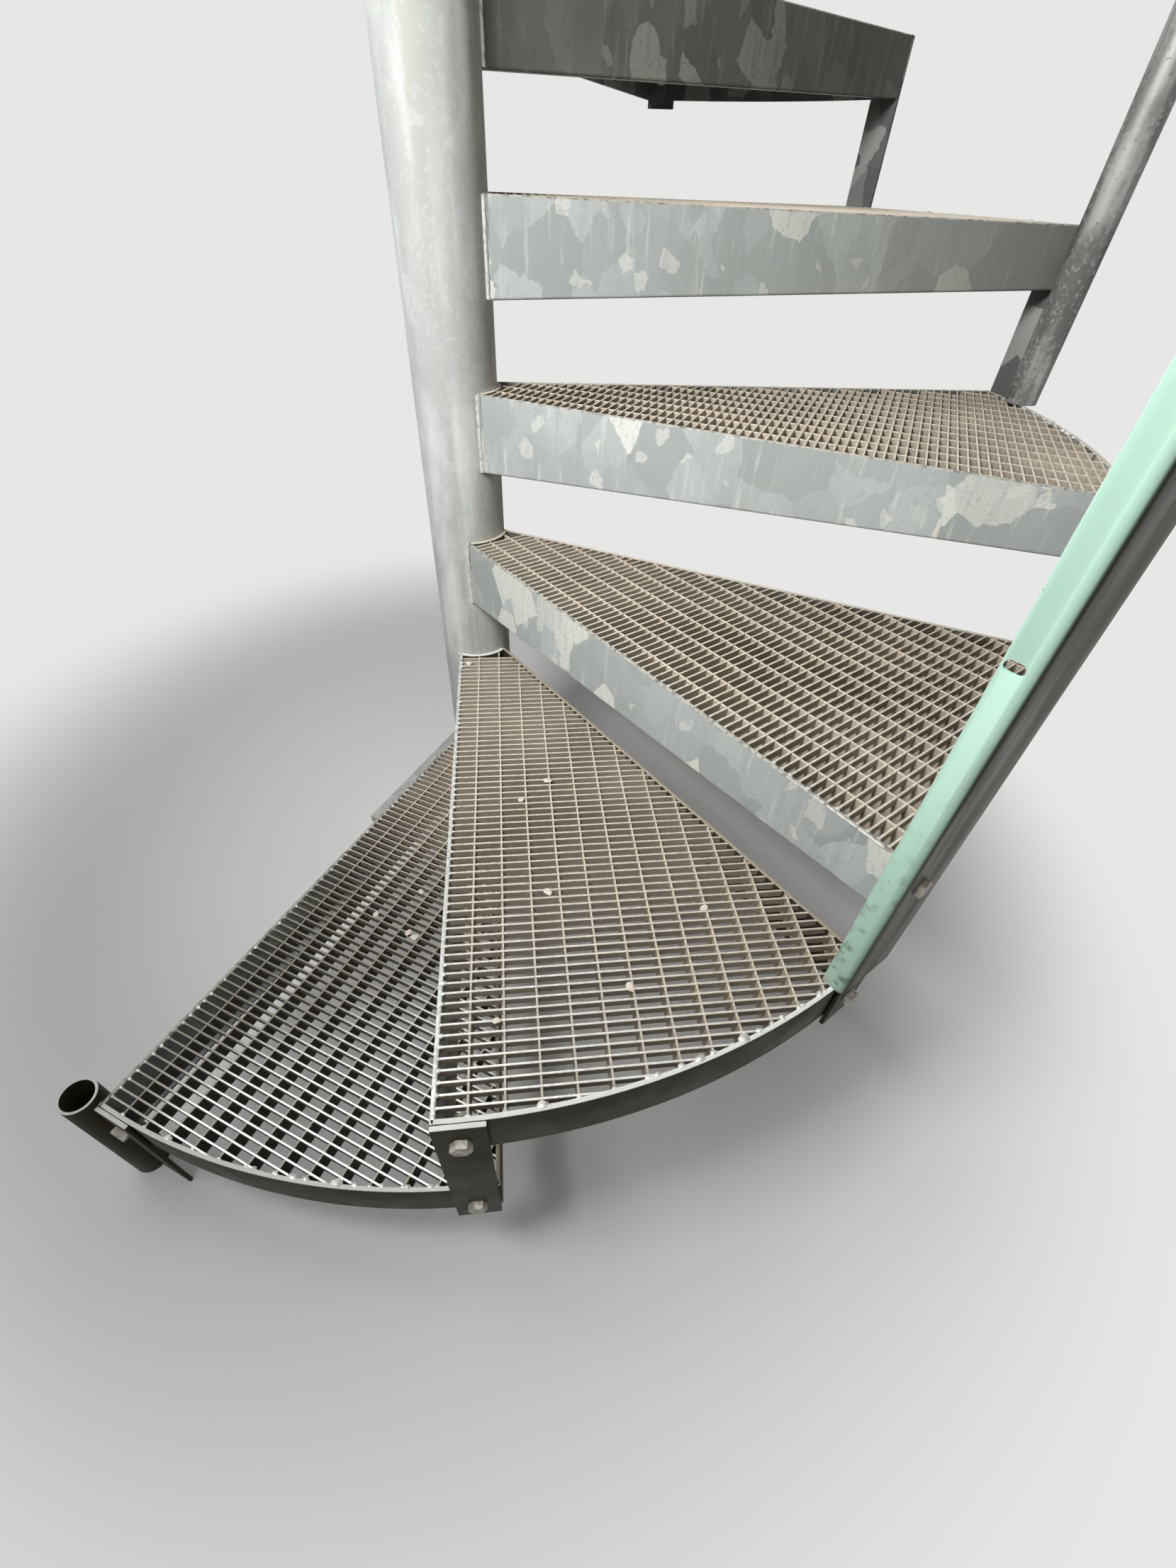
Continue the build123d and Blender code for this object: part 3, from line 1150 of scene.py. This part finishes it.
# %% Handrail
rail_tube = 0.0212
rail_climb = rise / (step_angle * rail_radius)
rail_start = tread_turn(3) - rail_lag
rail_turns = (tread_count - 3) * step_angle
deselect()
bpy.ops.mesh.primitive_circle_add(vertices=40, radius=rail_tube, rotation=(math.pi / 2, 0, 0))
handrail = named("hand_rail")
handrail.scale = (1, math.hypot(1, rail_climb), 1)
handrail.location = (rail_radius, 0, 3 * rise + rail_over_nose)
settle(handrail)
handrail.rotation_euler = (0, 0, rail_start)
settle(handrail)
use_modifier(
    handrail, "SCREW", angle=rail_turns, screw_offset=(tread_count - 3) * rise,
    steps=160, render_steps=160, use_normal_calculate=True, use_merge_vertices=False,
)
with editing(handrail):
    bpy.ops.mesh.select_mode(type="EDGE")
    bpy.ops.mesh.select_non_manifold()
    bpy.ops.mesh.edge_face_add()
mend_normals(handrail)
smooth(handrail, 40)
rails = [f"handrail_{n:02d}" for n in range(3, tread_count, 2)]
finish_piece(handrail, tube_finish, "tube_zinc", *rails)
print("handrail", triangles(handrail), "triangles")

# %% [markdown]
# ## Green post
# The replacement post is sheet bent to an angle with a round heel. It is made as the real
# one is: two flat faces meet in a corner, the corner is bent by a bevel, and Solidify
# gives the sheet its thickness. It stands level with the tread below, its wide leg over
# the strap, and a slot is cut close to the free edge of its narrow leg.

# %% Green post
sheet = 0.003
heel = 0.008
narrow_leg = 0.025
wide_leg = 0.080
post_out = strap_out + seat + sheet
post_front = -nose_offset - seat - heel
post_foot = -rise + seat
rail_here = rail_over_nose + (post_front - post_y) * rail_climb
angle_post = add_block(
    "angle_post",
    (post_out - narrow_leg, post_front, post_foot), (post_out, post_front + wide_leg, rail_here),
)
with editing(angle_post):
    pick(angle_post, "FACE", lambda c, n: n.x < -0.5 or n.y > 0.5 or abs(n.z) > 0.5)
    bpy.ops.mesh.delete(type="FACE")
    bevel_edges(
        angle_post, heel, 8, lambda a, b: at(post_out, a.x, b.x) and at(post_front, a.y, b.y)
    )
use_modifier(angle_post, "SOLIDIFY", thickness=sheet, offset=-1.0)
mend_normals(angle_post)
print("green post", triangles(angle_post), "triangles")

# %% Slot of the green post
slot_length, slot_width, slot_edge = 0.014, 0.008, 0.002
slot_x = post_out - narrow_leg + slot_edge + slot_length / 2
slot_place = (slot_x, post_front, rise)
slot_cutter = add_round(
    "slot_cutter", slot_width / 2, -0.01, 0.01, 24, (math.pi / 2, 0, 0), slot_place
)
half_run = (slot_length - slot_width) / 2
with editing(slot_cutter):
    pick(slot_cutter, "VERT", lambda p: p.x > slot_x + 0.0001)
    bpy.ops.transform.translate(value=(half_run, 0, 0))
    pick(slot_cutter, "VERT", lambda p: p.x < slot_x - 0.0001)
    bpy.ops.transform.translate(value=(-half_run, 0, 0))
cut_away(angle_post, slot_cutter)
use_modifier(
    angle_post, "BEVEL", width=0.0005, segments=2,
    limit_method="ANGLE", angle_limit=math.radians(50),
)
smooth(angle_post, 40)
set_on_tread(angle_post, "green_post", 3)
finish_piece(angle_post, green_finish, "green_paint", "post_channel_03")
green_bolt = bolt(post_out, 0.005)
set_bolts("green_post_bolt", green_bolt, 3, [bolt_drop], bolt_y)
for source in (strap_bolt, green_bolt):
    bpy.data.objects.remove(source)
print("green post finished", triangles(angle_post), "triangles")

# %% [markdown]
# ## Column, cap and foot
# The column is a plain round tube, so what makes it real are its joints: a bead of weld
# where each nose plate meets it, a lid on top and a plate with four anchor bolts below.
# The bead is a thin cylinder, cut into rings by a subdivision and shaken by a seeded
# random move. A displacement would do the same, but this keeps the bead light.

# %% Column and lid
base_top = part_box("base_plate")[1].z
column = add_round("column_tube", column_radius, base_top, column_top, 96)
smooth(column)
finish_piece(column, column_finish, "column_zinc", "column")
cap_low, cap_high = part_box("column_cap")
cap = add_round("column_lid", cap_high.x, cap_low.z, cap_high.z, 96)
with editing(cap):
    bevel_edges(cap, 0.002, 4, lambda a, b: at(cap_high.z, a.z, b.z))
smooth(cap)
finish_piece(cap, column_finish, "column_zinc", "column_cap")
print("column and lid", triangles(column) + triangles(cap), "triangles")


# %% Beads of weld at the column
def bead(name, place, low, high, radius, seed):
    """An upright bead of weld: a thin cylinder in many rings, shaken a little."""
    obj = add_round(name, radius, low, high, 8, place=(place[0], place[1], 0))
    with editing(obj):
        pick(obj, "EDGE", lambda a, b: abs(a.z - b.z) > 0.01)
        bpy.ops.mesh.subdivide(number_cuts=22)
        bpy.ops.mesh.select_all(action="SELECT")
        bpy.ops.transform.vertex_random(offset=0.0007, seed=seed, wait_for_input=False)
    smooth(obj, 80)
    return obj


bead_x = math.sqrt(column_radius**2 - nose_offset**2) + 0.001
bead_place = (bead_x, -nose_offset + 0.0005)
source = bead("bead", bead_place, -nose_height_column + 0.002, -0.001, 0.003, 3)
for n in range(1, tread_count + 1):
    piece = set_on_tread(copy_of(source), f"column_weld_{n:02d}", n)
    finish_piece(piece, edge_zinc, "column_zinc")
bpy.data.objects.remove(source)
print("beads placed")

# %% Foot plate with its anchor nuts
foot_side = 0.360
anchor_spacing = 0.280
half = foot_side / 2
foot = add_block("foot_plate", (-half, -half, 0), (half, half, base_top))
with editing(foot):
    bevel_edges(foot, 0.0015, 2, lambda a, b: max(a.z, b.z) > 0.01)
foot.rotation_euler = (0, 0, first_angle)
settle(foot)
smooth(foot)
finish_piece(foot, column_finish, "column_zinc", "base_plate")
anchors = []
washer_top, nut_top, thread_top = base_top + 0.003, base_top + 0.016, base_top + 0.026
for corner in range(4):
    aim = first_angle + math.radians(45 + 90 * corner)
    x = anchor_spacing / math.sqrt(2) * math.cos(aim)
    y = anchor_spacing / math.sqrt(2) * math.sin(aim)
    for radius, low, high, sides in (
        (0.015, base_top, washer_top, 28), (0.0138, washer_top, nut_top, 6),
        (0.008, nut_top, thread_top, 20),
    ):
        part = add_round("anchor", radius, low, high, sides, place=(x, y, 0))
        with editing(part):
            bevel_edges(part, 0.001, 2, lambda a, b: at(high, a.z, b.z))
        anchors.append(part)
foot_nuts = join("foot_nuts", *anchors)
smooth(foot_nuts)
finish_piece(foot_nuts, bolt_finish, "column_zinc")
print("foot", triangles(foot), "anchor nuts", triangles(foot_nuts))
